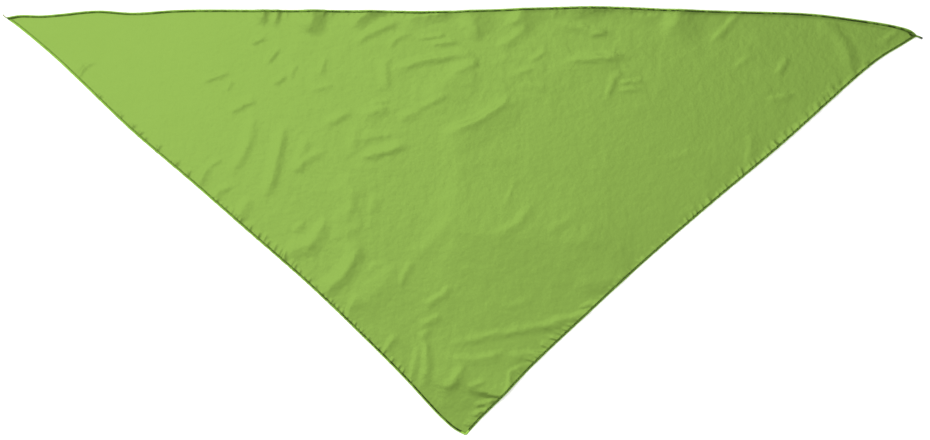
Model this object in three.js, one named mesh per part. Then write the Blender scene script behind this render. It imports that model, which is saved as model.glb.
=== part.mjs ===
// Triangular satin neckerchief, laid out on a flat surface.
// Millimetres, +X along the long edge, +Y away from the lower corner, +Z up.

import * as THREE from "three";

// Sizes of the cloth as it lies
const LONG_EDGE = 1000;
const DEPTH = 470;
const CLOTH_WALL = 1.2;

// How far an edge strays from the straight line between its corners, at most
const EDGE_BOW = 25;

// Rolled hem: a round bead beside the cloth
const HEM_WIDTH = 2.6;
const SEAM_GAP = 0.3;

// Thread tails past the two ends of the long edge
const LEFT_TAIL = 6;
const RIGHT_TAIL = 10;
const TAIL_WIDTH = 1;

// Height of the tallest fold and width of the broadest fold's flank
const FOLD_RISE = 6;
const FOLD_FLANK = 30;

// Fineness of the mesh: steps down a short side, along the long edge, round a hem, along a fold
const ROWS = 46;
const LONG_STEPS = 2 * ROWS;
const HEM_SIDES = 8;
const FOLD_STEPS = 12;

// Where the corners come in the list of points round the outline
const AT_RIGHT_TIP = LONG_STEPS;
const AT_LOWER_TIP = LONG_STEPS + ROWS;

// Share of a fold's length over which it rises to its full height, at each end
const FOLD_TAPER = 0.4;

const UP = new THREE.Vector3(0, 0, 1);

// Corners: across is a share of the long edge, down a share of the depth
const LEFT_TIP = { across: 0, down: 0.025 };
const RIGHT_TIP = { across: 1, down: 0.068 };
const LOWER_TIP = { across: 0.505, down: 1 };

// Edges, taken clockwise: along is a share of the way to the next corner, out a share of the bow
const LONG_EDGE_BOWS = [
  { along: 0.015, out: 0.12 },
  { along: 0.04, out: 0.13 },
  { along: 0.06, out: 0.21 },
  { along: 0.1, out: 0.39 },
  { along: 0.14, out: 0.33 },
  { along: 0.19, out: 0.49 },
  { along: 0.3, out: 0.58 },
  { along: 0.4, out: 0.64 },
  { along: 0.48, out: 0.68 },
  { along: 0.56, out: 0.85 },
  { along: 0.65, out: 1 },
  { along: 0.74, out: 0.94 },
  { along: 0.8, out: 0.92 },
  { along: 0.88, out: 0.88 },
  { along: 0.93, out: 0.68 },
  { along: 0.98, out: 0.39 },
  { along: 0.993, out: 0.23 },
];
const RIGHT_EDGE_BOWS = [
  { along: 0.03, out: -0.14 },
  { along: 0.07, out: -0.33 },
  { along: 0.12, out: -0.4 },
  { along: 0.29, out: -0.37 },
  { along: 0.45, out: -0.48 },
  { along: 0.6, out: -0.51 },
  { along: 0.74, out: -0.43 },
  { along: 0.83, out: -0.36 },
  { along: 0.92, out: -0.18 },
  { along: 0.965, out: -0.11 },
];
const LEFT_EDGE_BOWS = [
  { along: 0.02, out: 0.14 },
  { along: 0.05, out: 0.16 },
  { along: 0.14, out: -0.05 },
  { along: 0.24, out: -0.18 },
  { along: 0.35, out: -0.26 },
  { along: 0.48, out: -0.2 },
  { along: 0.6, out: -0.14 },
  { along: 0.73, out: -0.04 },
  { along: 0.84, out: -0.12 },
  { along: 0.9, out: -0.15 },
  { along: 0.97, out: -0.08 },
];

// Folds: each crest runs from start by way of middle to end, as shares across and down.
// rise is a share of the tallest fold; upper and lower are the widths of the two flanks, on
// the side of the long edge and on the other, as shares of the broadest flank.
// A fold that runs off an edge starts beyond it.
const FOLDS = [
  { start: [0.287, -0.03], middle: [0.282, 0.01], end: [0.275, 0.05], rise: 0.35, upper: 0.4, lower: 0.4 },
  { start: [0.344, -0.05], middle: [0.336, 0.015], end: [0.327, 0.085], rise: 0.8, upper: 1, lower: 0.75 },
  { start: [0.428, 0], middle: [0.396, 0.03], end: [0.373, 0.065], rise: 0.5, upper: 0.5, lower: 0.45 },
  { start: [0.529, 0.1], middle: [0.468, 0.12], end: [0.423, 0.15], rise: 0.6, upper: 0.5, lower: 0.4 },
  { start: [0.533, 0.122], middle: [0.494, 0.165], end: [0.466, 0.24], rise: 0.4, upper: 0.6, lower: 0.55 },
  { start: [0.502, -0.045], middle: [0.513, 0.015], end: [0.527, 0.09], rise: 0.85, upper: 0.6, lower: 0.8 },
  { start: [0.576, -0.035], middle: [0.563, 0.045], end: [0.538, 0.105], rise: 0.7, upper: 0.5, lower: 0.75 },
  { start: [0.662, 0.06], middle: [0.63, 0.055], end: [0.6, 0.045], rise: 0.35, upper: 0.4, lower: 0.4 },
  { start: [0.684, 0.115], middle: [0.647, 0.118], end: [0.61, 0.121], rise: 0.6, upper: 0.4, lower: 0.4 },
  { start: [0.668, 0.145], middle: [0.657, 0.185], end: [0.653, 0.24], rise: 0.35, upper: 0.4, lower: 0.45 },
  { start: [0.806, 0], middle: [0.787, 0.05], end: [0.769, 0.09], rise: 0.4, upper: 0.4, lower: 0.45 },
  { start: [0.884, 0.015], middle: [0.919, 0.07], end: [0.925, 0.185], rise: 0.65, upper: 0.8, lower: 0.55 },
  { start: [0.392, 0.545], middle: [0.379, 0.62], end: [0.341, 0.68], rise: 1, upper: 0.6, lower: 0.6 },
  { start: [0.35, 0.485], middle: [0.344, 0.54], end: [0.324, 0.585], rise: 0.55, upper: 0.5, lower: 0.5 },
  { start: [0.309, 0.26], middle: [0.303, 0.335], end: [0.287, 0.465], rise: 0.7, upper: 0.5, lower: 0.4 },
  { start: [0.278, 0.23], middle: [0.271, 0.33], end: [0.243, 0.395], rise: 0.65, upper: 0.55, lower: 0.5 },
  { start: [0.335, 0.293], middle: [0.329, 0.347], end: [0.313, 0.405], rise: 0.4, upper: 0.4, lower: 0.45 },
  { start: [0.453, 0.316], middle: [0.412, 0.335], end: [0.381, 0.358], rise: 0.5, upper: 0.4, lower: 0.4 },
  { start: [0.55, 0.186], middle: [0.521, 0.27], end: [0.473, 0.312], rise: 0.55, upper: 0.5, lower: 0.5 },
  { start: [0.488, 0.47], middle: [0.45, 0.568], end: [0.427, 0.657], rise: 0.4, upper: 0.5, lower: 0.5 },
  { start: [0.493, 0.634], middle: [0.478, 0.676], end: [0.456, 0.694], rise: 0.45, upper: 0.4, lower: 0.45 },
  { start: [0.576, 0.452], middle: [0.563, 0.512], end: [0.532, 0.527], rise: 0.35, upper: 0.4, lower: 0.4 },
  { start: [0.65, 0.71], middle: [0.55, 0.757], end: [0.473, 0.783], rise: 0.6, upper: 0.4, lower: 0.45 },
  { start: [0.593, 0.802], middle: [0.516, 0.82], end: [0.473, 0.816], rise: 0.5, upper: 0.4, lower: 0.45 },
  { start: [0.557, 0.9], middle: [0.506, 0.895], end: [0.467, 0.876], rise: 0.75, upper: 0.5, lower: 0.45 },
  { start: [0.456, 0.75], middle: [0.465, 0.816], end: [0.456, 0.9], rise: 0.5, upper: 0.4, lower: 0.4 },
  { start: [0.278, 0.219], middle: [0.262, 0.242], end: [0.243, 0.265], rise: 0.4, upper: 0.4, lower: 0.4 },
  { start: [0.274, 0.438], middle: [0.26, 0.464], end: [0.254, 0.503], rise: 0.4, upper: 0.4, lower: 0.45 },
];

// Place on the table from shares across and down
function place(across, down) {
  return new THREE.Vector3(across * LONG_EDGE, -down * DEPTH, 0);
}

// Direction on the table that lies to the left of the way given
function leftOf(way) {
  return new THREE.Vector3(-way.y, way.x, 0).normalize();
}

// One edge of the outline, as points at equal steps
function edgePoints(from, to, bows, steps) {
  const start = place(from.across, from.down);
  const end = place(to.across, to.down);
  const outward = leftOf(end.clone().sub(start));
  const stops = bows.map(({ along, out }) => {
    const onChord = start.clone().lerp(end, along);
    return onChord.addScaledVector(outward, out * EDGE_BOW);
  });
  const curve = new THREE.CatmullRomCurve3([start, ...stops, end], false, "centripetal");
  return curve.getSpacedPoints(steps);
}

// The whole outline, clockwise from the left tip, without a double point
function outlinePoints() {
  const longEdge = edgePoints(LEFT_TIP, RIGHT_TIP, LONG_EDGE_BOWS, LONG_STEPS);
  const rightEdge = edgePoints(RIGHT_TIP, LOWER_TIP, RIGHT_EDGE_BOWS, ROWS);
  const leftEdge = edgePoints(LOWER_TIP, LEFT_TIP, LEFT_EDGE_BOWS, ROWS);
  return [...longEdge.slice(0, -1), ...rightEdge.slice(0, -1), ...leftEdge.slice(0, -1)];
}

// The outline moved inward, with each of its chords kept parallel at the same distance
function insetLoop(loop, distance) {
  return loop.map((point, index) => {
    const before = loop[(index + loop.length - 1) % loop.length];
    const after = loop[(index + 1) % loop.length];
    const leftIn = leftOf(point.clone().sub(before));
    const leftOut = leftOf(after.clone().sub(point));
    const mitre = leftIn.clone().add(leftOut).normalize();
    return point.clone().addScaledVector(mitre, -distance / mitre.dot(leftOut));
  });
}

// A fold's crest as points on the table
function crestOf({ start, middle, end }) {
  const first = place(...start);
  const last = place(...end);
  const handle = place(...middle).multiplyScalar(2).sub(first.clone().lerp(last, 0.5));
  return new THREE.QuadraticBezierCurve3(first, handle, last).getPoints(FOLD_STEPS);
}

// Height of one fold at a place: a soft ridge with two flanks, which sinks away at both ends
function foldHeight(fold, crest, spot) {
  let nearest = { gap: Infinity };
  for (let step = 0; step < FOLD_STEPS; step += 1) {
    const line = new THREE.Line3(crest[step], crest[step + 1]);
    const share = line.closestPointToPointParameter(spot, true);
    const foot = line.at(share, new THREE.Vector3());
    const gap = foot.distanceTo(spot);
    if (gap < nearest.gap) {
      const side = leftOf(line.delta(new THREE.Vector3())).dot(spot.clone().sub(foot));
      nearest = { gap, side, along: (step + share) / FOLD_STEPS };
    }
  }
  const flank = (nearest.side < 0 ? fold.upper : fold.lower) * FOLD_FLANK;
  const across = THREE.MathUtils.smoothstep(1 - nearest.gap / flank, 0, 1);
  const fromEnd = Math.min(nearest.along, 1 - nearest.along);
  return fold.rise * FOLD_RISE * across * THREE.MathUtils.smoothstep(fromEnd, 0, FOLD_TAPER);
}

const crests = FOLDS.map(crestOf);

// Height of the cloth's underside above the table
function liftAt(spot) {
  const heights = FOLDS.map((fold, index) => foldHeight(fold, crests[index], spot));
  return heights.reduce((sum, height) => sum + height, 0);
}

// Places of the cloth's mesh: one list for each row, from the long edge down to the lower corner,
// each row two steps shorter than the one before it
function clothRows(border) {
  const longEdge = border.slice(0, LONG_STEPS + 1);
  const rows = [longEdge];
  for (let row = 1; row <= ROWS; row += 1) {
    const left = border[(border.length - row) % border.length];
    const right = border[AT_RIGHT_TIP + row];
    const steps = 2 * (ROWS - row);
    const fade = (1 - row / ROWS) ** 2;
    const points = [];
    for (let step = 0; step <= steps; step += 1) {
      const share = steps === 0 ? 0 : step / steps;
      const fromCorner = share * LONG_STEPS;
      const edgeStep = Math.min(Math.floor(fromCorner), LONG_STEPS - 1);
      const onEdge = longEdge[edgeStep].clone().lerp(longEdge[edgeStep + 1], fromCorner - edgeStep);
      const onChord = longEdge[0].clone().lerp(longEdge[LONG_STEPS], share);
      const bow = onEdge.sub(onChord).multiplyScalar(fade);
      points.push(left.clone().lerp(right, share).add(bow));
    }
    rows.push(points);
  }
  return rows;
}

// A mesh geometry from corner points and triangles
function solidGeometry(points, triangles) {
  const geometry = new THREE.BufferGeometry().setFromPoints(points);
  geometry.setIndex(triangles.flat());
  geometry.computeVertexNormals();
  return geometry;
}

// The satin itself: an upper and a lower face that follow the folds, joined round the border
function clothPanel(border) {
  const rows = clothRows(border);
  const firstOfRow = [];
  const under = [];
  for (const row of rows) {
    firstOfRow.push(under.length);
    for (const point of row) {
      under.push(point.clone().setZ(liftAt(point)));
    }
  }
  const over = under.map((point) => point.clone().addScaledVector(UP, CLOTH_WALL));

  const faces = [];
  for (let row = 0; row < ROWS; row += 1) {
    const above = firstOfRow[row];
    const below = firstOfRow[row + 1];
    const steps = 2 * (ROWS - row);
    faces.push([above, below, above + 1]);
    for (let step = 0; step < steps - 2; step += 1) {
      faces.push([above + step + 1, below + step, below + step + 1]);
      faces.push([above + step + 1, below + step + 1, above + step + 2]);
    }
    faces.push([above + steps - 1, below + steps - 2, above + steps]);
  }

  const longRim = rows[0].map((_, step) => step);
  const rightRim = rows.slice(1).map((row, index) => firstOfRow[index + 1] + row.length - 1);
  const leftRim = rows.slice(1, -1).map((_, index) => firstOfRow[index + 1]).reverse();
  const rim = [...longRim, ...rightRim, ...leftRim];

  const count = under.length;
  const overFaces = faces.map(([a, b, c]) => [count + a, count + b, count + c]);
  const underFaces = faces.map(([a, b, c]) => [a, c, b]);
  const walls = rim.flatMap((from, index) => {
    const to = rim[(index + 1) % rim.length];
    return [[count + from, count + to, to], [count + from, to, from]];
  });
  return solidGeometry([...under, ...over], [...overFaces, ...underFaces, ...walls]);
}

// A round bead through stations, each with its place on the table, its width across flats and its
// sideways direction. It is lifted with the cloth, and its flat underside rests where the cloth does.
function bead(stations) {
  const points = [];
  const halfTurn = Math.PI / HEM_SIDES;
  for (const { spot, width, aside } of stations) {
    const radius = width / 2 / Math.cos(halfTurn);
    const centre = spot.clone().setZ(liftAt(spot) + width / 2);
    for (let side = 0; side < HEM_SIDES; side += 1) {
      const turn = halfTurn * (2 * side + 1);
      const point = centre.clone().addScaledVector(aside, radius * Math.cos(turn));
      points.push(point.addScaledVector(UP, radius * Math.sin(turn)));
    }
  }
  const triangles = [];
  const last = points.length - HEM_SIDES;
  for (let start = 0; start < last; start += HEM_SIDES) {
    for (let side = 0; side < HEM_SIDES; side += 1) {
      const next = (side + 1) % HEM_SIDES;
      triangles.push([start + side, start + next, start + HEM_SIDES + side]);
      triangles.push([start + next, start + HEM_SIDES + next, start + HEM_SIDES + side]);
    }
  }
  for (let side = 1; side < HEM_SIDES - 1; side += 1) {
    triangles.push([0, side + 1, side]);
    triangles.push([last, last + side, last + side + 1]);
  }
  return solidGeometry(points, triangles);
}

// Stations along a path, square to it at the ends and mitred between
function stationsAlong(path, width) {
  return path.map((spot, index) => {
    const before = path[Math.max(index - 1, 0)];
    const after = path[Math.min(index + 1, path.length - 1)];
    const ways = [];
    if (index > 0) {
      ways.push(leftOf(spot.clone().sub(before)));
    }
    if (index < path.length - 1) {
      ways.push(leftOf(after.clone().sub(spot)));
    }
    const aside = ways.reduce((sum, way) => sum.add(way), new THREE.Vector3()).normalize();
    aside.divideScalar(aside.dot(ways[0]));
    return { spot, width, aside };
  });
}

// How far a bead that butts on another one stops short of where their centre lines meet
function buttShort(corner, alongThis, alongOther) {
  const thisWay = alongThis.clone().sub(corner).normalize();
  const otherWay = alongOther.clone().sub(corner).normalize();
  const cosine = Math.abs(thisWay.dot(otherWay));
  const sine = Math.abs(thisWay.cross(otherWay).z);
  return (HEM_WIDTH / 2 + SEAM_GAP + (HEM_WIDTH / 2) * cosine) / sine;
}

// A point on the way from one place to another, at a distance from the first
function stepTowards(from, to, distance) {
  return from.clone().addScaledVector(to.clone().sub(from).normalize(), distance);
}

// Hem of the long edge, with a tail that narrows past each end
function longEdgeHem(centreLine) {
  const path = centreLine.slice(0, AT_RIGHT_TIP + 1);
  const stations = stationsAlong(path, HEM_WIDTH);
  const first = stations[0];
  const last = stations[stations.length - 1];
  const leftTail = stepTowards(first.spot, path[1], -LEFT_TAIL);
  const rightTail = stepTowards(last.spot, path[path.length - 2], -RIGHT_TAIL);
  return bead([
    { ...first, spot: leftTail, width: TAIL_WIDTH },
    ...stations,
    { ...last, spot: rightTail, width: TAIL_WIDTH },
  ]);
}

// Hem of the right edge: butts on the long edge's hem above and on the left edge's hem below
function rightEdgeHem(centreLine) {
  const upper = centreLine[AT_RIGHT_TIP];
  const lower = centreLine[AT_LOWER_TIP];
  const path = centreLine.slice(AT_RIGHT_TIP, AT_LOWER_TIP + 1);
  const shortAbove = buttShort(upper, centreLine[AT_RIGHT_TIP + 1], centreLine[AT_RIGHT_TIP - 1]);
  const shortBelow = buttShort(lower, centreLine[AT_LOWER_TIP - 1], centreLine[AT_LOWER_TIP + 1]);
  path[0] = stepTowards(upper, path[1], shortAbove);
  path[path.length - 1] = stepTowards(lower, path[path.length - 2], shortBelow);
  return bead(stationsAlong(path, HEM_WIDTH));
}

// Hem of the left edge: covers the end of the right edge's hem and butts on the long edge's hem
function leftEdgeHem(centreLine) {
  const lower = centreLine[AT_LOWER_TIP];
  const upper = centreLine[0];
  const path = [...centreLine.slice(AT_LOWER_TIP), upper];
  const shortAbove = buttShort(upper, centreLine[centreLine.length - 1], centreLine[1]);
  path[0] = stepTowards(lower, path[1], -HEM_WIDTH / 2);
  path[path.length - 1] = stepTowards(upper, path[path.length - 2], shortAbove);
  return bead(stationsAlong(path, HEM_WIDTH));
}

// Green polyester satin, and the same satin rolled and overlocked with a darker thread
const satin = new THREE.MeshStandardMaterial({ color: 0x94b752, roughness: 0.45, metalness: 0 });
const overlockedHem = new THREE.MeshStandardMaterial({ color: 0x5f7c33, roughness: 0.7, metalness: 0 });

function part(name, geometry, material) {
  const mesh = new THREE.Mesh(geometry, material);
  mesh.name = name;
  return mesh;
}

const outline = outlinePoints();
const hemCentreLine = insetLoop(outline, HEM_WIDTH / 2);
const clothBorder = insetLoop(outline, HEM_WIDTH + SEAM_GAP);

const neckerchief = new THREE.Group();
neckerchief.add(part("cloth_panel", clothPanel(clothBorder), satin));
neckerchief.add(part("hem_long_edge", longEdgeHem(hemCentreLine), overlockedHem));
neckerchief.add(part("hem_left_edge", leftEdgeHem(hemCentreLine), overlockedHem));
neckerchief.add(part("hem_right_edge", rightEdgeHem(hemCentreLine), overlockedHem));

// The origin is under the middle of the whole piece, at the level that it rests on
const extent = new THREE.Box3().setFromObject(neckerchief);
const middle = extent.getCenter(new THREE.Vector3());
neckerchief.position.set(-middle.x, -middle.y, -extent.min.z);

export default neckerchief;
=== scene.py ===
import math
import random
from collections import namedtuple

import bpy
import numpy as np
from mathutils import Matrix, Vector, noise


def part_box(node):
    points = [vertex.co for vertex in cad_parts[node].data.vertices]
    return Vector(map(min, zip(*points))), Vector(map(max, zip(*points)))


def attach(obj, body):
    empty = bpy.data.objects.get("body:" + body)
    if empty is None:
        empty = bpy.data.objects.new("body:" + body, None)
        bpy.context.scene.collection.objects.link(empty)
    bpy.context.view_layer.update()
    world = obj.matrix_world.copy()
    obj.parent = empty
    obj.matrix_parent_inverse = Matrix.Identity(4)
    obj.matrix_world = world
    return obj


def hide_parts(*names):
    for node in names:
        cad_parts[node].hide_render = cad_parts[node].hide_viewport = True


# Triangular satin neckerchief, laid flat on a pale table and seen from straight above.
# Metres: +X along the long edge, +Y away from the lower corner, +Z up.
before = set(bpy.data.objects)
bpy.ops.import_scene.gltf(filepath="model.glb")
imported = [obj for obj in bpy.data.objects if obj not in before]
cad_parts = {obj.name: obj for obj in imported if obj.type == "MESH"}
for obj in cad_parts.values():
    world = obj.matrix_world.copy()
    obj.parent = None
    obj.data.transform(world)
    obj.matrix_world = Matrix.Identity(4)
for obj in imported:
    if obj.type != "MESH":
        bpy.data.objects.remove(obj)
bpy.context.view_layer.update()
bpy.ops.object.select_all(action="DESELECT")
scene = bpy.context.scene
scene.view_settings.view_transform = "Standard"

MM = 0.001

# Camera
# A long lens high above the table, looking straight down. The picture is 930 by 440.
PICTURE_WIDTH = 1.0197
CAMERA_HEIGHT = 1.6
AIM = (0.0024, 0.0013)
SENSOR = 36

camera = bpy.data.objects.new("camera", bpy.data.cameras.new("camera"))
camera.data.sensor_width = SENSOR
camera.data.lens = SENSOR * CAMERA_HEIGHT / PICTURE_WIDTH
camera.location = (*AIM, CAMERA_HEIGHT)
scene.collection.objects.link(camera)
scene.camera = camera

# Light
# Two soft boxes side by side overhead, a bright one at the upper left and a dim one at the lower
# right. The satin shines in full under the bright one and less and less away from there. The room
# is an even, dim white.
ROOM_LIGHT = 0.6
SOFT_BOX_TURN = math.radians(142)
SOFT_BOX_HEIGHT = 1.9
SOFT_BOX_SEAM = -0.16

world = bpy.data.worlds.new("white_room")
world.use_nodes = True
world.node_tree.nodes["Background"].inputs["Color"].default_value = (1, 1, 1, 1)
world.node_tree.nodes["Background"].inputs["Strength"].default_value = ROOM_LIGHT
scene.world = world


def soft_box(name, width, length, radiance, side):
    """A level soft box overhead, on one side of the seam between the two."""
    light = bpy.data.objects.new(name, bpy.data.lights.new(name, "AREA"))
    light.data.shape = "RECTANGLE"
    light.data.size = width
    light.data.size_y = length
    light.data.energy = radiance * math.pi * width * length
    reach = side * width / 2 - SOFT_BOX_SEAM
    light.location = (
        reach * math.cos(SOFT_BOX_TURN),
        reach * math.sin(SOFT_BOX_TURN),
        SOFT_BOX_HEIGHT,
    )
    light.rotation_euler.z = SOFT_BOX_TURN
    light.visible_camera = False
    scene.collection.objects.link(light)


soft_box("bright_soft_box", width=3.2, length=6.0, radiance=2.07, side=1)
soft_box("dim_soft_box", width=1.4, length=2.4, radiance=1.17, side=-1)


def linear(hex_colour):
    """Linear red, green, blue and alpha of an sRGB hex colour."""
    channels = [int(hex_colour[at : at + 2], 16) / 255 for at in (1, 3, 5)]
    return (*[c / 12.92 if c <= 0.04045 else ((c + 0.055) / 1.055) ** 2.4 for c in channels], 1)


def add_node(material, kind, values=None, links=None, **settings):
    """A new node in a material, with its settings, its sockets' values and what feeds them."""
    node = material.node_tree.nodes.new(kind)
    for name, value in settings.items():
        setattr(node, name, value)
    for socket, value in (values or {}).items():
        node.inputs[socket].default_value = value
    for socket, output in (links or {}).items():
        material.node_tree.links.new(output, node.inputs[socket])
    return node


def new_material(name):
    """An empty material with nothing but its output."""
    material = bpy.data.materials.new(name)
    material.use_nodes = True
    nodes = material.node_tree.nodes
    nodes.remove(nodes["Principled BSDF"])
    return material, nodes["Material Output"].inputs["Surface"]


# Table
# A plain matt board, painted white, on which the cloth lies.
TABLE_SIDE = 40
TABLE_DROP = 0.1 * MM
TABLE_WHITE = linear("#fafaf9")

bpy.ops.mesh.primitive_plane_add(size=TABLE_SIDE, location=(0, 0, -TABLE_DROP))
table = bpy.context.object
table.name = "table"
white_paint, surface = new_material("matt_white_paint")
shader = add_node(
    white_paint, "ShaderNodeBsdfPrincipled",
    values={"Base Color": TABLE_WHITE, "Roughness": 0.9, "Specular IOR Level": 0.1},
)
white_paint.node_tree.links.new(shader.outputs["BSDF"], surface)
table.data.materials.append(white_paint)
bpy.ops.object.select_all(action="DESELECT")

# Outline of the cloth
# A half square cut on the bias: one long edge and two short ones. The edges aren't quite
# straight, because the cloth was put down by hand and its hems draw it in.
LONG_EDGE = 1.0
DEPTH = 0.47
EDGE_BOW = 0.025
HEM_WIDTH = 2.6 * MM
SEAM_GAP = 0.3 * MM
CURVE_STEPS = 40

# Shares of the long edge across and of the depth down
LEFT_TIP = (0, 0.025)
RIGHT_TIP = (1, 0.068)
LOWER_TIP = (0.505, 1)

# Clockwise: share of the way to the next corner, share of the bow outward
LONG_EDGE_BOWS = [
    (0.015, 0.12), (0.04, 0.13), (0.06, 0.21), (0.1, 0.39), (0.14, 0.33), (0.19, 0.49),
    (0.3, 0.58), (0.4, 0.64), (0.48, 0.68), (0.56, 0.85), (0.65, 1), (0.74, 0.94),
    (0.8, 0.92), (0.88, 0.88), (0.93, 0.68), (0.98, 0.39), (0.993, 0.23),
]
RIGHT_EDGE_BOWS = [
    (0.03, -0.14), (0.07, -0.33), (0.12, -0.4), (0.29, -0.37), (0.45, -0.48),
    (0.6, -0.51), (0.74, -0.43), (0.83, -0.36), (0.92, -0.18), (0.965, -0.11),
]
LEFT_EDGE_BOWS = [
    (0.02, 0.14), (0.05, 0.16), (0.14, -0.05), (0.24, -0.18), (0.35, -0.26), (0.48, -0.2),
    (0.6, -0.14), (0.73, -0.04), (0.84, -0.12), (0.9, -0.15), (0.97, -0.08),
]


def left_of(ways):
    """Unit directions on the table to the left of the ways given."""
    turned = np.column_stack([-ways[:, 1], ways[:, 0]])
    return turned / np.linalg.norm(turned, axis=1)[:, None]


def even_steps(path, steps):
    """The same path, cut at equal distances."""
    lengths = np.linalg.norm(np.diff(path, axis=0), axis=1)
    so_far = np.concatenate([[0], np.cumsum(lengths)])
    stops = np.linspace(0, so_far[-1], steps + 1)
    return np.column_stack([np.interp(stops, so_far, axis) for axis in path.T])


def smooth_path(stops, steps):
    """A centripetal Catmull-Rom curve through the stops, cut at equal distances."""
    knots = np.vstack([2 * stops[0] - stops[1], stops, 2 * stops[-1] - stops[-2]])
    share = np.linspace(0, 1, CURVE_STEPS, endpoint=False)[:, None]
    pieces = []
    for p0, p1, p2, p3 in zip(knots, knots[1:], knots[2:], knots[3:]):
        d0, d1, d2 = (np.linalg.norm(gap) ** 0.5 for gap in (p1 - p0, p2 - p1, p3 - p2))
        leave = (p1 - p0) / d0 - (p2 - p0) / (d0 + d1) + (p2 - p1) / d1
        reach = (p2 - p1) / d1 - (p3 - p1) / (d1 + d2) + (p3 - p2) / d2
        leave, reach = leave * d1, reach * d1
        square = -3 * p1 + 3 * p2 - 2 * leave - reach
        cube = 2 * p1 - 2 * p2 + leave + reach
        pieces.append(p1 + leave * share + square * share**2 + cube * share**3)
    return even_steps(np.vstack([*pieces, stops[-1]]), steps)


def edge(start, end, bows, steps):
    """One edge of the outline, from a corner to the next one clockwise."""
    start = np.array([start[0] * LONG_EDGE, -start[1] * DEPTH])
    end = np.array([end[0] * LONG_EDGE, -end[1] * DEPTH])
    outward = left_of((end - start)[None])[0]
    stops = [start + (end - start) * along + outward * out * EDGE_BOW for along, out in bows]
    return smooth_path(np.array([start, *stops, end]), steps)


def outline(rows):
    """The whole outline, clockwise from the left tip, without a double point."""
    long_edge = edge(LEFT_TIP, RIGHT_TIP, LONG_EDGE_BOWS, 2 * rows)
    right_edge = edge(RIGHT_TIP, LOWER_TIP, RIGHT_EDGE_BOWS, rows)
    left_edge = edge(LOWER_TIP, LEFT_TIP, LEFT_EDGE_BOWS, rows)
    return np.vstack([long_edge[:-1], right_edge[:-1], left_edge[:-1]])


def inset(loop, distance):
    """The loop moved inward, with each of its chords kept parallel at the same distance."""
    outward = left_of(np.roll(loop, -1, axis=0) - loop)
    mitre = outward + np.roll(outward, 1, axis=0)
    mitre /= np.linalg.norm(mitre, axis=1)[:, None]
    return loop - mitre * (distance / (mitre * outward).sum(axis=1))[:, None]


# The left tip of the outline in the frame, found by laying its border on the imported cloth
CAD_ROWS = 46
packed_low = np.array(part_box("cloth_panel")[0])
ORIGIN = packed_low[:2] - inset(outline(CAD_ROWS), HEM_WIDTH + SEAM_GAP).min(axis=0)

# Folds and creases
# The cloth was unfolded and smoothed out by hand, and soft creases are left in it. Each crest runs
# from start by way of middle to end, and its shaded flank is on its left. These places are read off
# the photograph, in its pixels. rise is the crest's height, lit and shaded its flanks' widths, in mm.
PIXEL = LONG_EDGE / 912
LEFT_TIP_PIXEL = (4.5, 6.3)

Fold = namedtuple("Fold", "start middle end rise lit shaded")
FOLDS = [
    Fold((272, -12), (266, 7), (256, 26), 3.4, 16, 10),
    Fold((322, -12), (313, 12), (305, 35), 4.6, 24, 22),
    Fold((394, 1), (369, 11), (349, 29), 3.0, 14, 14),
    Fold((480, 52), (428, 59), (389, 72), 1.6, 8, 8),
    Fold((484, 58), (449, 79), (426, 112), 1.3, 20, 40),
    Fold((460, -10), (468, 14), (483, 44), 3.4, 20, 32),
    Fold((528, -12), (521, 10), (508, 30), 2.8, 14, 26),
    Fold((530, 20), (514, 37), (492, 46), 1.3, 9, 13),
    Fold((614, 34), (582, 28), (546, 20), 1.3, 9, 10),
    Fold((632, 55), (595, 58), (560, 60), 2.0, 9, 8),
    Fold((622, 70), (611, 84), (606, 106), 0.9, 7, 6),
    Fold((742, 8), (724, 27), (708, 44), 1.0, 6, 9),
    Fold((808, 16), (841, 42), (850, 86), 1.0, 14, 12),
    Fold((357, 239), (346, 269), (314, 299), 2.2, 16, 14),
    Fold((327, 211), (316, 235), (302, 256), 1.7, 11, 14),
    Fold((281, 118), (276, 160), (260, 206), 1.7, 12, 10),
    Fold((249, 104), (246, 146), (222, 176), 1.2, 12, 9),
    Fold((306, 134), (301, 152), (290, 176), 1.0, 9, 12),
    Fold((410, 141), (382, 151), (354, 159), 1.6, 8, 8),
    Fold((512, 93), (484, 116), (436, 138), 1.5, 10, 34),
    Fold((454, 206), (434, 236), (408, 264), 0.7, 14, 16),
    Fold((451, 283), (439, 296), (420, 304), 1.3, 6, 9),
    Fold((530, 198), (515, 224), (488, 230), 1.0, 8, 12),
    Fold((566, 322), (510, 331), (434, 346), 1.1, 7, 9),
    Fold((604, 312), (573, 315), (532, 330), 1.7, 7, 14),
    Fold((510, 346), (478, 358), (436, 353), 1.3, 7, 14),
    Fold((578, 397), (516, 394), (460, 388), 2.5, 16, 7),
    Fold((421, 332), (426, 360), (420, 391), 1.6, 7, 9),
    Fold((465, 362), (454, 378), (441, 392), 1.7, 9, 12),
    Fold((258, 97), (242, 105), (227, 114), 1.3, 10, 6),
    Fold((252, 197), (242, 208), (235, 226), 1.3, 10, 12),
    Fold((684, -10), (678, 12), (666, 42), 3.2, 20, 38),
]
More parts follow.
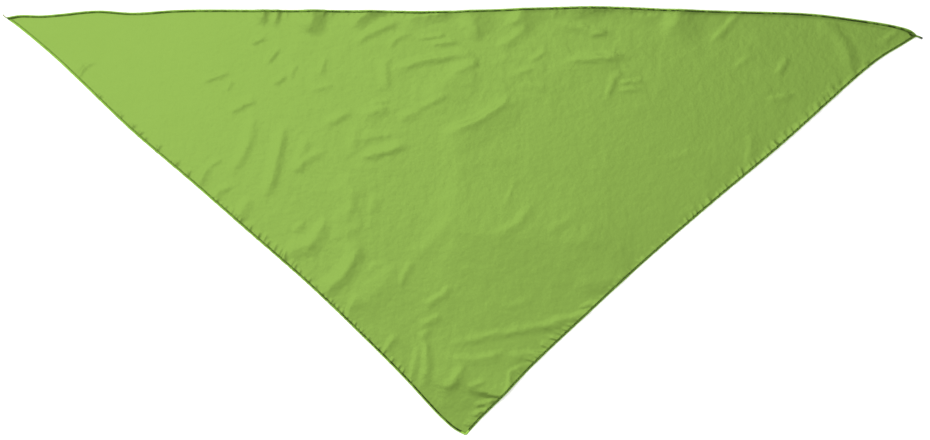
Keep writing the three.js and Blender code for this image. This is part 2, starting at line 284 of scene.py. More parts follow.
CREASES = [
    Fold((97, 60), (84, 67), (77, 80), 1.1, 4, 4),
    Fold((231, 70), (214, 76), (200, 82), 1.2, 5, 5),
    Fold((232, 78), (228, 85), (226, 93), 0.9, 4, 4),
    Fold((267, 36), (257, 40), (249, 44), 1.1, 5, 5),
    Fold((280, 47), (272, 55), (266, 64), 1.3, 5, 5),
    Fold((287, 74), (278, 79), (270, 84), 1.2, 5, 5),
    Fold((297, 64), (292, 71), (289, 80), 0.8, 4, 5),
    Fold((326, 55), (321, 65), (318, 76), 1.0, 4, 6),
    Fold((336, 83), (322, 86), (307, 89), 0.6, 5, 7),
    Fold((384, 54), (385, 74), (386, 94), 0.9, 12, 8),
    Fold((281, -10), (277, 8), (272, 30), 2.0, 12, 7),
    Fold((402, 20), (376, 30), (350, 45), 1.4, 9, 7),
    Fold((412, 34), (396, 37), (388, 51), 1.0, 6, 5),
    Fold((456, 10), (430, 15), (398, 18), 1.9, 6, 14),
    Fold((446, 34), (431, 36), (414, 38), 1.1, 6, 5),
    Fold((462, 42), (444, 42), (426, 44), 1.1, 5, 6),
    Fold((480, 61), (467, 66), (452, 73), 0.7, 9, 6),
    Fold((608, 31), (598, 33), (586, 34), 0.8, 5, 5),
    Fold((644, 80), (630, 81), (617, 83), 1.0, 4, 4),
    Fold((644, 89), (630, 89), (617, 91), 1.0, 4, 4),
    Fold((796, 94), (779, 96), (762, 99), 1.0, 4, 9),
    Fold((749, 130), (749, 150), (744, 170), 0.8, 5, 16),
    Fold((378, 260), (370, 269), (360, 279), 0.6, 6, 8),
    Fold((356, 292), (351, 304), (346, 324), 1.2, 6, 14),
    Fold((232, 184), (218, 191), (213, 203), 1.2, 6, 9),
    Fold((208, 164), (202, 176), (197, 190), 1.4, 7, 9),
    Fold((326, 148), (306, 159), (293, 174), 1.1, 5, 11),
    Fold((353, 111), (337, 117), (320, 127), 1.2, 8, 9),
    Fold((390, 106), (374, 110), (358, 116), 1.2, 8, 12),
    Fold((356, 122), (353, 140), (352, 158), 0.8, 14, 9),
    Fold((396, 132), (376, 136), (350, 140), 0.8, 12, 6),
    Fold((450, 92), (434, 100), (414, 109), 0.8, 6, 6),
    Fold((353, 184), (349, 200), (349, 216), 0.6, 4, 12),
    Fold((375, 190), (371, 203), (370, 216), 0.7, 4, 16),
    Fold((441, 314), (430, 320), (417, 324), 1.1, 6, 8),
    Fold((430, 326), (424, 333), (416, 339), 0.9, 5, 5),
    Fold((486, 379), (475, 384), (465, 388), 0.9, 5, 5),
    Fold((540, 361), (516, 368), (503, 376), 0.9, 5, 8),
    Fold((509, 371), (508, 382), (506, 394), 0.9, 5, 9),
    Fold((558, 350), (530, 354), (500, 354), 1.2, 6, 14),
    Fold((417, 340), (414, 362), (408, 384), 0.9, 5, 8),
    Fold((397, 333), (390, 342), (382, 351), 1.1, 8, 9),
    Fold((515, 176), (510, 190), (505, 208), 0.5, 4, 5),
    Fold((692, 150), (677, 156), (658, 162), 0.5, 8, 8),
    Fold((698, 205), (688, 211), (677, 217), 0.5, 8, 8),
    Fold((533, 297), (518, 303), (500, 309), 0.5, 6, 7),
    Fold((634, 268), (604, 280), (566, 290), 1.3, 30, 16),
    Fold((629, 272), (620, 277), (611, 282), 0.6, 5, 5),
    Fold((580, 213), (560, 223), (544, 237), 0.5, 8, 8),
    Fold((547, 50), (538, 56), (528, 62), 0.7, 6, 3),
    Fold((535, 66), (524, 71), (512, 76), 0.8, 5, 4),
    Fold((549, 89), (536, 85), (523, 82), 0.8, 4, 8),
    Fold((787, 57), (781, 66), (773, 75), 0.9, 5, 9),
    Fold((752, 54), (741, 61), (732, 70), 0.6, 5, 5),
    Fold((900, 30), (889, 36), (879, 45), 0.8, 6, 6),
    Fold((780, 11), (610, 1), (470, 8), 2.8, 6, 30),
    Fold((616, 3), (590, 6), (562, 12), 1.4, 6, 14),
    Fold((664, 14), (648, 17), (632, 18), 0.8, 6, 9),
    Fold((414, 260), (405, 272), (398, 288), 0.9, 6, 7),
    Fold((606, 302), (590, 304), (574, 308), 1.0, 5, 4),
    Fold((316, 240), (300, 246), (284, 256), 1.2, 14, 16),
    Fold((222, 158), (214, 162), (206, 168), 0.8, 5, 5),
    Fold((306, 222), (298, 226), (292, 234), 0.8, 6, 7),
    Fold((392, 100), (380, 101), (366, 105), 0.7, 4, 4),
    Fold((510, 97), (482, 116), (440, 134), 1.0, 6, 9),
    Fold((426, 104), (412, 112), (398, 121), 0.8, 10, 10),
    Fold((536, 380), (474, 380), (406, 374), 2.6, 60, 48),
    Fold((496, 399), (484, 403), (471, 404), 1.2, 5, 4),
    Fold((489, 407), (481, 411), (472, 414), 1.0, 4, 3),
    Fold((650, 246), (530, 238), (410, 226), 2.8, 70, 70),
    Fold((398, 260), (375, 290), (346, 314), 1.6, 24, 30),
    Fold((624, 63), (588, 66), (546, 70), 1.0, 30, 34),
    Fold((348, 140), (347, 230), (345, 320), 0.8, 30, 30),
    Fold((459, 90), (455, 200), (444, 330), 0.8, 30, 34),
    Fold((652, -20), (652, 50), (650, 130), 0.5, 60, 60),
]
FOLD_STEPS = 12
FOLD_TAPER = 0.3
CREST_ROUNDING = 1.5
FOOT_ROUNDING = 0.4

# The creases wander a little instead of following their paths exactly. size and shift in mm.
Wander = namedtuple("Wander", "size shift seed")
WANDERS = [Wander(30, 1.2, 11), Wander(9, 1.2, 17)]


def soft_step(share):
    """Rises smoothly from 0 to 1."""
    share = np.clip(share, 0, 1)
    return share * share * (3 - 2 * share)


def flank_shape(gap, flank):
    """Falls from 1 at the crest to 0 at the foot of a flank: straight, with rounded ends."""
    share = np.clip(gap / flank, 0, 1)
    crest = np.clip(CREST_ROUNDING * MM / flank, 0, 1 - FOOT_ROUNDING)
    near_crest = share**2 / (2 * crest)
    near_foot = 1 - (crest + FOOT_ROUNDING) / 2 - (1 - share) ** 2 / (2 * FOOT_ROUNDING)
    fallen = np.where(share < crest, near_crest, share - crest / 2)
    fallen = np.where(share > 1 - FOOT_ROUNDING, near_foot, fallen)
    return 1 - fallen / (1 - (crest + FOOT_ROUNDING) / 2)


def on_table(pixel):
    """The place on the table of a pixel of the photograph, from the frame's origin."""
    across, down = np.subtract(pixel, LEFT_TIP_PIXEL) * PIXEL
    return ORIGIN + np.array([across, -down])


def fold_height(spots, fold):
    """Height of one fold at places on the table: a soft ridge that sinks away at both ends."""
    start, middle, end = (on_table(place) for place in fold[:3])
    handle = 2 * middle - (start + end) / 2
    share = np.linspace(0, 1, FOLD_STEPS + 1)[:, None]
    crest = start * (1 - share) ** 2 + handle * 2 * share * (1 - share) + end * share**2
    reach = max(fold.lit, fold.shaded) * MM
    near = np.all((spots > crest.min(axis=0) - reach) & (spots < crest.max(axis=0) + reach), axis=1)
    here = spots[near]
    gap = np.full(len(here), np.inf)
    side = np.zeros(len(here))
    along = np.zeros(len(here))
    for step, (a, b) in enumerate(zip(crest, crest[1:])):
        way = b - a
        foot = np.clip((here - a) @ way / (way @ way), 0, 1)
        off = here - a - foot[:, None] * way
        distance = np.hypot(off[:, 0], off[:, 1])
        nearer = distance < gap
        gap[nearer] = distance[nearer]
        side[nearer] = (way[0] * off[:, 1] - way[1] * off[:, 0])[nearer]
        along[nearer] = (step + foot[nearer]) / FOLD_STEPS
    flank = np.where(side < 0, fold.lit, fold.shaded) * MM
    from_end = np.minimum(along, 1 - along)
    height = np.zeros(len(spots))
    height[near] = fold.rise * MM * flank_shape(gap, flank) * soft_step(from_end / FOLD_TAPER)
    return height


# Puckers
# The overlocked hems are a little shorter than the cloth, so they gather it into small ridges that
# stand across the edge. start and end are mm along the edge from the left or right tip, between
# which count ridges stand; reach inward and rise in mm; lean is clockwise along the edge, as a slope.
# The flanks of a ridge are in mm too.
Gather = namedtuple("Gather", "start end count reach rise lean")
LEFT_EDGE_GATHERS = [
    Gather(135, 137, 1, 12, 1.5, 0.1), Gather(162, 168, 2, 10, 1.3, 0.1),
    Gather(180, 187, 2, 13, 1.5, 0.1), Gather(193, 198, 1, 14, 1.4, 0.1),
    Gather(203, 207, 1, 10, 1.2, 0.2), Gather(220, 225, 1, 14, 1.5, 0.2),
    Gather(238, 250, 3, 12, 1.4, 0.1), Gather(260, 268, 2, 11, 1.2, 0.2),
    Gather(296, 340, 6, 10, 1.2, 0.2), Gather(340, 425, 13, 12, 1.7, 0.3),
    Gather(425, 470, 7, 8, 1.2, 0.3), Gather(470, 530, 10, 7, 1.2, 0.2),
    Gather(530, 600, 7, 9, 0.9, 0.2),
]
RIGHT_EDGE_GATHERS = [
    Gather(60, 100, 5, 10, 1.0, -0.4), Gather(100, 185, 14, 15, 1.3, -0.4),
    Gather(185, 255, 11, 13, 1.3, -0.3), Gather(255, 330, 10, 9, 1.0, -0.3),
    Gather(330, 490, 14, 8, 0.7, 0.4), Gather(490, 552, 9, 15, 1.1, 0.7),
    Gather(552, 600, 5, 9, 0.8, 0.4), Gather(600, 650, 7, 15, 1.3, 0.8),
]
LONG_EDGE_GATHERS = [Gather(280, 480, 16, 9, 0.7, 0), Gather(600, 740, 16, 12, 1.0, 0.2)]
LIT_PUCKER, SHADED_PUCKER = 3.4, 2.4

# How unevenly they stand: in shares of a step, in slope, and in shares of their reach and rise
PLACE_SPREAD, LEAN_SPREAD = 0.35, 0.15
SIZE_SPREAD = (0.6, 1.2)


def pucker_folds(path, gathers, from_end, seed):
    """The small ridges at an edge as folds. path is clockwise; from_end measures from its end."""
    lengths = np.concatenate([[0], np.cumsum(np.linalg.norm(np.diff(path, axis=0), axis=1))])
    draw = random.Random(seed)
    folds = []
    for gather in gathers:
        for number in range(gather.count):
            share = (number + 0.5 + draw.uniform(-PLACE_SPREAD, PLACE_SPREAD)) / gather.count
            along = (gather.start + (gather.end - gather.start) * share) * MM
            at = lengths[-1] - along if from_end else along
            foot = np.array([np.interp(at, lengths, axis) for axis in path.T])
            ahead = np.array([np.interp(at + MM, lengths, axis) for axis in path.T])
            way = (ahead - foot) / np.linalg.norm(ahead - foot)
            lean = gather.lean + draw.uniform(-LEAN_SPREAD, LEAN_SPREAD)
            inward = np.array([way[1], -way[0]]) + way * lean
            inward *= gather.reach * draw.uniform(*SIZE_SPREAD) * MM
            ends = [foot - inward, foot + inward]
            if inward[1] > 0:
                ends.reverse()
            start, end = (np.array([x, -y]) / PIXEL + LEFT_TIP_PIXEL for x, y in ends)
            rise = gather.rise * draw.uniform(*SIZE_SPREAD)
            folds.append(Fold(start, (start + end) / 2, end, rise, LIT_PUCKER, SHADED_PUCKER))
    return folds


# Along two hems the cloth stands up a little, by uneven lengths that run into each other. These are
# their rises, clockwise, and the width of their flanks, in mm.
LONG_EDGE_RIDGES = [0.1, 0.2, 0.3, 0.3, 0.6, 0.7, 1.2, 1.7, 2.2]
RIGHT_EDGE_RIDGES = [0.8, 1.4, 1.4, 0.9, 0.5, 0.4, 0.5, 0.5, 0.6]
RIDGE_FLANK = 7


def hem_ridges(path, rises):
    """Low ridges along an edge, each of which fades out where the next one starts."""
    length = 1 / (len(rises) * (1 - FOLD_TAPER) + FOLD_TAPER)
    ridges = []
    for number, rise in enumerate(rises):
        start = number * length * (1 - FOLD_TAPER)
        stops = [path[round((start + length * share) * (len(path) - 1))] for share in (0, 0.5, 1)]
        places = [np.array([x, -y]) / PIXEL + LEFT_TIP_PIXEL for x, y in stops]
        ridges.append(Fold(*places, rise, RIDGE_FLANK, RIDGE_FLANK))
    return ridges


ROWS = 240
fine_outline = outline(ROWS)
long_path = fine_outline[: 2 * ROWS + 1]
right_path = fine_outline[2 * ROWS : 3 * ROWS + 1]
left_path = np.vstack([fine_outline[3 * ROWS :], fine_outline[:1]])
PUCKERS = [
    *pucker_folds(long_path, LONG_EDGE_GATHERS, from_end=False, seed=3),
    *pucker_folds(right_path, RIGHT_EDGE_GATHERS, from_end=False, seed=5),
    *pucker_folds(left_path, LEFT_EDGE_GATHERS, from_end=True, seed=8),
    *hem_ridges(long_path, LONG_EDGE_RIDGES),
    *hem_ridges(right_path, RIGHT_EDGE_RIDGES),
]

# Crumple
# Between the creases the cloth isn't quite smooth: shallow unevenness of several sizes, in mm, and
# more of it in the parts that were crushed. Their middle and reach are in pixels.
Crumple = namedtuple("Crumple", "size height seed")
CRUMPLES = [
    Crumple(60, 0.4, 3), Crumple(28, 0.3, 7), Crumple(13, 0.25, 13), Crumple(7, 0.14, 19),
]
Crushed = namedtuple("Crushed", "middle reach more")
CRUSHED_PARTS = [
    Crushed((500, 75), 75, 1.2), Crushed((392, 118), 45, 1.0), Crushed((345, 220), 75, 0.9),
    Crushed((460, 25), 50, 0.8), Crushed((620, 60), 80, 0.5), Crushed((450, 380), 50, 0.6),
]

# The left of the cloth is calmer. In pixels, where it ends and where the full unevenness starts
CALM_SHARE = 0.4
CALM_END, UNEVEN_START = 170, 290

# The cloth lies this far above the table in its lowest places
LAID_GAP = 0.1 * MM


def crumple_height(spots):
    """Height of the shallow unevenness at places on the table."""
    height = np.zeros(len(spots))
    for crumple in CRUMPLES:
        scale = 1 / (crumple.size * MM)
        height += [
            crumple.height * MM * noise.noise((x * scale, y * scale, crumple.seed))
            for x, y in spots
        ]
    past_calm = (spots[:, 0] - on_table((CALM_END, 0))[0]) / ((UNEVEN_START - CALM_END) * PIXEL)
    strength = CALM_SHARE + (1 - CALM_SHARE) * soft_step(past_calm)
    for part in CRUSHED_PARTS:
        away = np.linalg.norm(spots - on_table(part.middle), axis=1) / (part.reach * PIXEL)
        strength += part.more * soft_step(1 - away)
    return height * strength


def wandered(spots):
    """The places where the folds are looked up, so that each crease wanders a little."""
    moved = spots.copy()
    for wander in WANDERS:
        scale = 1 / (wander.size * MM)
        for axis in (0, 1):
            shifts = [noise.noise((x * scale, y * scale, wander.seed + axis)) for x, y in spots]
            moved[:, axis] += np.array(shifts) * wander.shift * MM
    return moved


def main_lift(spots):
    """Height of the cloth above the table, with its large folds alone."""
    looked_up = wandered(spots)
    return sum(fold_height(looked_up, fold) for fold in FOLDS)


def lift(spots):
    """Height of the cloth above the table, with all that stands up in it."""
    looked_up = wandered(spots)
    detail = sum(fold_height(looked_up, fold) for fold in CREASES)
    gathers = sum(fold_height(spots, pucker) for pucker in PUCKERS)
    height = main_lift(spots) + detail + gathers + crumple_height(spots)
    return np.maximum(height + LAID_GAP, 0)


# Satin cloth
# One layer of green polyester satin. Long floats on its face give it a broad, soft shine in its own
# colour. Its mesh is a shell: an upper face that is finer in a strip along the hems, where the
# puckers are, a coarser lower face, and walls between the two round the border.
SATIN_WALL = 0.5 * MM
LOWER_FACE_DROP = 0.2 * MM
TUCK = 1.3 * MM
STRIP_WIDTH = 16 * MM
STRIP_ROWS = 12
SHORT_EDGE_CUTS = 3


def cloth_rows(border, rows):
    """Places from the long edge down to the lower corner, each row two steps shorter."""
    long_edge = border[: 2 * rows + 1]
    along = np.linspace(0, 1, 2 * rows + 1)
    bow = long_edge - (long_edge[0] + (long_edge[-1] - long_edge[0]) * along[:, None])
    places = [long_edge]
    for row in range(1, rows + 1):
        left, right = border[-row], border[2 * rows + row]
        share = np.linspace(0, 1, 2 * (rows - row) + 1)
        bowed = np.column_stack([np.interp(share, along, axis) for axis in bow.T])
        places.append(left + (right - left) * share[:, None] + bowed * (1 - row / rows) ** 2)
    return places


def row_faces(rows, first):
    """Triangles between the rows, and the loop of points round the border, clockwise."""
    starts = first + np.concatenate([[0], np.cumsum([2 * (rows - row) + 1 for row in range(rows)])])
    faces = []
    for row in range(rows):
        above, below, steps = int(starts[row]), int(starts[row + 1]), 2 * (rows - row)
        faces.append((above, below, above + 1))
        for step in range(steps - 2):
            faces.append((above + step + 1, below + step, below + step + 1))
            faces.append((above + step + 1, below + step + 1, above + step + 2))
        faces.append((above + steps - 1, below + steps - 2, above + steps))
    loop = list(range(first, first + 2 * rows + 1))
    loop += [int(starts[row]) + 2 * (rows - row) for row in range(1, rows + 1)]
    loop += [int(starts[row]) for row in range(rows - 1, 0, -1)]
    return faces, loop


def band_faces(inner, outer, cuts):
    """Triangles between two clockwise loops. cuts says how often each inner step is cut outside."""
    faces = []
    at = 0
    for step, cut in enumerate(cuts):
        here, ahead = inner[step], inner[(step + 1) % len(inner)]
        for _ in range(cut):
            faces.append((here, outer[(at + 1) % len(outer)], outer[at]))
            at += 1
        faces.append((here, ahead, outer[at % len(outer)]))
    return faces


def new_piece(name, points, faces):
    """A smooth-shaded mesh object at the origin."""
    mesh = bpy.data.meshes.new(name)
    mesh.from_pydata([tuple(map(float, point)) for point in points], [], faces)
    mesh.polygons.foreach_set("use_smooth", [True] * len(mesh.polygons))
    piece = bpy.data.objects.new(name, mesh)
    scene.collection.objects.link(piece)
    return piece


# The rings of the strip are the outline drawn in towards the triangle's incentre
tips = fine_outline[[0, 2 * ROWS, 3 * ROWS]]
sides = np.linalg.norm(np.roll(tips, -1, axis=0) - np.roll(tips, 1, axis=0), axis=1)
incentre = sides @ tips / sides.sum()
tip_ways = tips[1:] - tips[0]
inradius = abs(tip_ways[0, 0] * tip_ways[1, 1] - tip_ways[0, 1] * tip_ways[1, 0]) / sides.sum()


def drawn_in(loop, distance):
    """The loop drawn in towards the incentre, by the distance at each edge, moved onto the cloth."""
    return ORIGIN + incentre + (loop - incentre) * (1 - distance / inradius)


border = drawn_in(fine_outline, TUCK)
upper = np.vstack(cloth_rows(drawn_in(fine_outline, STRIP_WIDTH), ROWS))
upper_faces, core_loop = row_faces(ROWS, 0)

cuts = [1] * (2 * ROWS) + [SHORT_EDGE_CUTS] * (2 * ROWS)
cut_outline = np.vstack([
    a + (b - a) * (np.arange(cut) / cut)[:, None]
    for a, b, cut in zip(fine_outline, np.roll(fine_outline, -1, axis=0), cuts)
])
strips = []
inner_loop = core_loop
for row in range(1, STRIP_ROWS + 1):
    distance = STRIP_WIDTH + (TUCK - STRIP_WIDTH) * row / STRIP_ROWS
    strips.append(drawn_in(cut_outline, distance))
    first = len(upper) + (row - 1) * len(cut_outline)
    strip_loop = list(range(first, first + len(cut_outline)))
    upper_faces += band_faces(inner_loop, strip_loop, cuts if row == 1 else [1] * len(cut_outline))
    inner_loop = strip_loop
upper = np.vstack([upper, *strips])

lower = np.vstack(cloth_rows(border[::2], ROWS // 2))
lower_faces, lower_loop = row_faces(ROWS // 2, len(upper))
walls = band_faces(lower_loop, inner_loop, [a + b for a, b in zip(cuts[::2], cuts[1::2])])
upper_points = np.column_stack([upper, lift(upper) + SATIN_WALL])
lower_points = np.column_stack([lower, np.maximum(main_lift(lower) - LOWER_FACE_DROP, 0)])
cloth = new_piece(
    "satin_cloth",
    [*upper_points, *lower_points],
    [*upper_faces, *[(a, c, b) for a, b, c in lower_faces], *[(a, c, b) for a, b, c in walls]],
)

satin, surface = new_material("polyester_satin")
SATIN_GREEN = linear("#6c883a")
SATIN_SHADE = linear("#6a8638")
TONE_SIZE = 30 * MM
RUMPLE_SIZE = 5 * MM
RUMPLE_DEPTH = 0.4 * MM

place = add_node(satin, "ShaderNodeTexCoord").outputs["Object"]
tone = add_node(
    satin, "ShaderNodeTexNoise", values={"Scale": 1 / TONE_SIZE, "Detail": 3}, links={"Vector": place}
)
colour = add_node(
    satin, "ShaderNodeMix", data_type="RGBA",
    values={"A": SATIN_GREEN, "B": SATIN_SHADE}, links={"Factor": tone.outputs["Fac"]},
)
unevenness = add_node(
    satin, "ShaderNodeTexNoise",
    values={"Scale": 1 / RUMPLE_SIZE, "Detail": 1.5}, links={"Vector": place},
)
rumple = add_node(
    satin, "ShaderNodeBump", values={"Strength": 1, "Distance": RUMPLE_DEPTH},
    links={"Height": unevenness.outputs["Fac"]},
)
shader = add_node(
    satin, "ShaderNodeBsdfPrincipled",
    values={"Metallic": 0.7, "Roughness": 0.42, "Specular IOR Level": 0.2},
    links={"Base Color": colour.outputs["Result"], "Normal": rumple.outputs["Normal"]},
)
satin.node_tree.links.new(shader.outputs["BSDF"], surface)
cloth.data.materials.append(satin)
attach(cloth, "root")
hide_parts("cloth_panel")

# Rolled hems
# The edge of the cloth is rolled under into a narrow flat cord, and a dark green polyester thread is
# overlocked round it. The thread shows on its inner side and its top, and the satin shows outside.
HEM_HEIGHT = 1.7 * MM
HEM_SIDES = 10
HEM_STEP = 1.0 * MM
THREAD_WIDTH = 0.7 * MM
THREAD_SIDES = 4
WRAP_STEP = 0.85 * MM
WRAP_SLANT = 0.9 * MM
WRAP_STEPS = 4

# The part of the cord that the thread covers, as turns about it from its outer side over its top
WRAP_FROM = math.radians(168)
WRAP_TO = {"long": math.radians(84), "right": math.radians(66), "left": math.radians(84)}

# At the lower corner the cord is bare
BARE_CORNER = 6 * MM

# Nearly upright, and along no piece of thread, so that its sides can be laid out from it
ASLANT = [0.13, 0.27, 0.95]


def hem_frame(path):
    """Centre line of a hem that lies on the cloth's folds, with its way and its outer side."""
    ways = np.gradient(path, axis=0)
    ways /= np.linalg.norm(ways, axis=1)[:, None]
    outer = np.column_stack([left_of(ways), np.zeros(len(path))])
    centre = np.column_stack([path, lift(path) + HEM_HEIGHT / 2])
    return centre, np.column_stack([ways, np.zeros(len(path))]), outer


def rolled_edge(name, path):
    """The rolled edge of the cloth: a cord with closed ends."""
    centre, _, outer = hem_frame(path)
    turns = np.arange(HEM_SIDES) * 2 * math.pi / HEM_SIDES
    up = np.array([0, 0, HEM_HEIGHT / 2])
    rings = [
        middle + HEM_WIDTH / 2 * math.cos(turn) * side + math.sin(turn) * up
        for middle, side in zip(centre, outer)
        for turn in turns
    ]
    last = (len(path) - 1) * HEM_SIDES
    faces = [tuple(reversed(range(HEM_SIDES))), tuple(range(last, last + HEM_SIDES))]
    for start in range(0, last, HEM_SIDES):
        for side in range(HEM_SIDES):
            after = (side + 1) % HEM_SIDES
            far = start + HEM_SIDES
            faces.append((start + side, start + after, far + after, far + side))
    return new_piece(name, rings, faces)


def add_thread(points, faces, path, width):
    """Adds a piece of thread along a path to lists of points and faces, with closed ends."""
    first = len(points)
    ways = np.gradient(path, axis=0)
    aside = np.cross(ways, ASLANT)
    aside /= np.linalg.norm(aside, axis=1)[:, None]
    across = np.cross(aside, ways)
    across /= np.linalg.norm(across, axis=1)[:, None]
    for side in range(THREAD_SIDES):
        turn = 2 * math.pi * side / THREAD_SIDES
        points.extend(path + width / 2 * (math.cos(turn) * aside + math.sin(turn) * across))
    count = len(path)
    for side in range(THREAD_SIDES):
        here, there = first + side * count, first + (side + 1) % THREAD_SIDES * count
        faces.extend((here + k, here + k + 1, there + k + 1, there + k) for k in range(count - 1))
    faces.append(tuple(first + side * count for side in range(THREAD_SIDES)))
    faces.append(tuple(first + side * count + count - 1 for side in reversed(range(THREAD_SIDES))))


def overlock_wraps(edge_name, path):
    """The thread's wraps over a rolled edge, as one piece."""
    centre, ways, outer = hem_frame(path)
    turns = np.linspace(WRAP_FROM, WRAP_TO[edge_name], WRAP_STEPS + 1)[:, None]
    slants = np.linspace(-WRAP_SLANT / 2, WRAP_SLANT / 2, WRAP_STEPS + 1)[:, None]
    up = np.array([0, 0, HEM_HEIGHT / 2])
    points, faces = [], []
    for middle, way, side in zip(centre, ways, outer):
        round_edge = HEM_WIDTH / 2 * np.cos(turns) * side + np.sin(turns) * up
        add_thread(points, faces, middle + round_edge + way * slants, THREAD_WIDTH)
    return new_piece(f"hem_{edge_name}_overlock", points, faces)


def path_length(path):
    """Length of a path in metres."""
    return np.linalg.norm(np.diff(path, axis=0), axis=1).sum()


# The satin over the cord is painted paler than the flat cloth: a painted sheen for the light that
# its rounded top catches, most of all at the right edge
PAINTED_SHEEN_GREENS = {"long": "#7fa43e", "right": "#88b044", "left": "#86ad42"}


def satin_with_painted_sheen(edge_name):
    """Green polyester satin over the cord of one edge, in a paler green that is painted sheen."""
    material, surface = new_material(f"polyester_satin_painted_sheen_{edge_name}_edge")
    # The paler base colour is painted sheen, not a different fabric
    shader = add_node(
        material, "ShaderNodeBsdfPrincipled",
        values={
            "Base Color": linear(PAINTED_SHEEN_GREENS[edge_name]), "Metallic": 0.4, "Roughness": 0.45,
            "Specular IOR Level": 0.2,
        },
    )
    material.node_tree.links.new(shader.outputs["BSDF"], surface)
    return material


# The stitches lie looser in places, where the satin shows between them: the thread is paler there.
# Along x its green is also painted light: paler towards the left, a painted highlight where the
# bright soft box shines, and darker towards the right, painted shade
ThreadToneAndPaintedLight = namedtuple("ThreadToneAndPaintedLight", "left right from_x to_x loose")
THREAD_TONES_AND_PAINTED_LIGHT = {
    "long": ThreadToneAndPaintedLight("#3a5619", "#132406", -0.4, 0.3, 0.8),
    "right": ThreadToneAndPaintedLight("#1e330a", "#0c1804", 0.1, 0.4, 0.15),
    "left": ThreadToneAndPaintedLight("#7da33e", "#132406", -0.43, -0.12, 0.8),
}
LOOSE_STITCHES = linear("#6b8f34")
LOOSE_SIZE = 7 * MM
LOOSE_FROM, LOOSE_TO = 0.46, 0.62


def overlock_thread(edge_name):
    """Matt dark green polyester thread at one edge, painted paler to the left and darker to the
    right.
    """
    material, surface = new_material(f"overlock_thread_{edge_name}_edge")
    tones = THREAD_TONES_AND_PAINTED_LIGHT[edge_name]
    place = add_node(material, "ShaderNodeTexCoord").outputs["Object"]
    axes = add_node(material, "ShaderNodeSeparateXYZ", links={"Vector": place})
    # Painted light: the green runs from a painted highlight at the left to painted shade at the right
    across = add_node(
        material, "ShaderNodeMapRange",
        values={"From Min": tones.from_x, "From Max": tones.to_x}, links={"Value": axes.outputs["X"]},
    )
    green = add_node(
        material, "ShaderNodeMix", data_type="RGBA",
        values={"A": linear(tones.left), "B": linear(tones.right)},
        links={"Factor": across.outputs["Result"]},
    )
    tone = add_node(
        material, "ShaderNodeTexNoise",
        values={"Scale": 1 / LOOSE_SIZE, "Detail": 2}, links={"Vector": place},
    )
    loose = add_node(
        material, "ShaderNodeMapRange",
        values={"From Min": LOOSE_FROM, "From Max": LOOSE_TO, "To Max": tones.loose},
        links={"Value": tone.outputs["Fac"]},
    )
    colour = add_node(
        material, "ShaderNodeMix", data_type="RGBA", values={"B": LOOSE_STITCHES},
        links={"Factor": loose.outputs["Result"], "A": green.outputs["Result"]},
    )
    shader = add_node(
        material, "ShaderNodeBsdfPrincipled",
        values={"Metallic": 0.2, "Roughness": 0.5, "Specular IOR Level": 0.2},
        links={"Base Color": colour.outputs["Result"]},
    )
    material.node_tree.links.new(shader.outputs["BSDF"], surface)
    return material


centre_line = inset(fine_outline, HEM_WIDTH / 2) + ORIGIN
hem_lines = {
    "long": centre_line[: 2 * ROWS + 1],
    "right": centre_line[2 * ROWS : 3 * ROWS + 1],
    "left": np.vstack([centre_line[3 * ROWS :], centre_line[:1]]),
}
for edge_name, line in hem_lines.items():
    length = path_length(line)
    roll = rolled_edge(f"hem_{edge_name}_roll", even_steps(line, round(length / HEM_STEP)))
    roll.data.materials.append(satin_with_painted_sheen(edge_name))
    stitches = even_steps(line, round(length / WRAP_STEP))
    bare = round(BARE_CORNER / WRAP_STEP)
    if edge_name == "right":
        stitches = stitches[:-bare]
    if edge_name == "left":
        stitches = stitches[bare:]
    wraps = overlock_wraps(edge_name, stitches)
    wraps.data.materials.append(overlock_thread(edge_name))
    for piece in (roll, wraps):
        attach(piece, "root")
        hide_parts(f"hem_{edge_name}_edge")

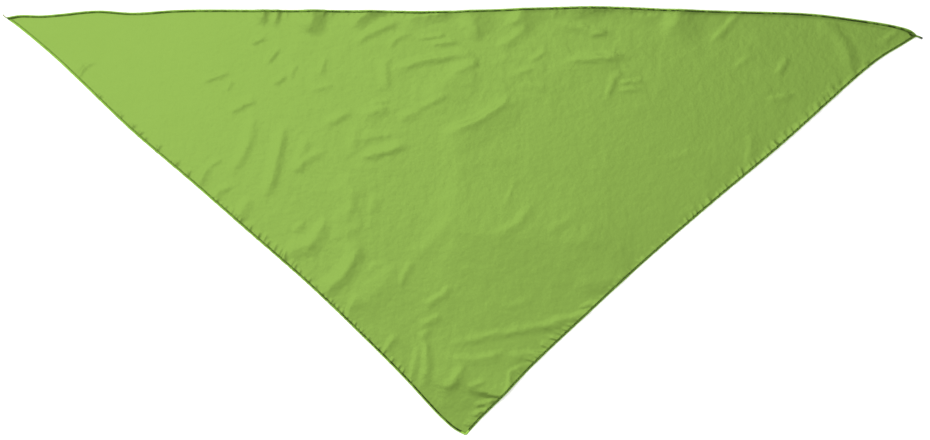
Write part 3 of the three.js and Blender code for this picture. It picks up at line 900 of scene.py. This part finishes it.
# Thread tails
# The overlock runs on a little past both ends of the long edge and is cut off. At the left tip a
# knot and a thin pale end are left of it, at the right tip a thicker twisted end.
LEFT_TAIL = [(10.5, 18.6), (8.5, 18.3), (6.5, 17.6), (4.6, 16.6), (3.2, 15.4), (2.2, 14.2)]
RIGHT_TAIL = [(908.5, 32.9), (911.5, 34.3), (914.8, 35.6), (918.0, 36.6), (921.0, 38.0)]
LEFT_KNOT = [(7.6, 18.0), (8.6, 18.4), (10.0, 19.0)]
TWIST_TURN = 3 * MM
TAIL_STEPS = 40


def twisted_tail(name, pixels, strands, width, height):
    """A few strands of thread twisted round each other, lying on the table."""
    line = smooth_path(np.array([on_table(pixel) for pixel in pixels]), TAIL_STEPS)
    so_far = np.linspace(0, path_length(line), len(line))
    side = np.column_stack([left_of(np.gradient(line, axis=0)), np.zeros(len(line))])
    points, faces = [], []
    for strand in range(strands):
        turn = so_far / TWIST_TURN * 2 * math.pi + 2 * math.pi * strand / strands
        offset = width / 2 if strands > 1 else 0
        path = np.column_stack([line, np.full(len(line), height)])
        path = path + offset * np.cos(turn)[:, None] * side
        path[:, 2] += offset * np.sin(turn)
        add_thread(points, faces, path, width)
    return new_piece(name, points, faces)


left_knot = twisted_tail("left_tip_knot", LEFT_KNOT, strands=3, width=1.0 * MM, height=1.6 * MM)
left_tail = twisted_tail(
    "left_thread_tail", LEFT_TAIL, strands=2, width=0.75 * MM, height=0.8 * MM
)
right_tail = twisted_tail(
    "right_thread_tail", RIGHT_TAIL, strands=3, width=1.2 * MM, height=1.5 * MM
)
pale_thread, surface = new_material("bleached_thread_end")
shader = add_node(
    pale_thread, "ShaderNodeBsdfPrincipled",
    values={"Base Color": linear("#9aa478"), "Roughness": 0.7, "Specular IOR Level": 0.2},
)
pale_thread.node_tree.links.new(shader.outputs["BSDF"], surface)
left_tail.data.materials.append(pale_thread)
# The right tail and the knot take the edges' thread greens, with their painted light
right_tail.data.materials.append(bpy.data.materials["overlock_thread_long_edge"])
left_knot.data.materials.append(bpy.data.materials["overlock_thread_right_edge"])
for piece in (left_tail, left_knot, right_tail):
    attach(piece, "root")
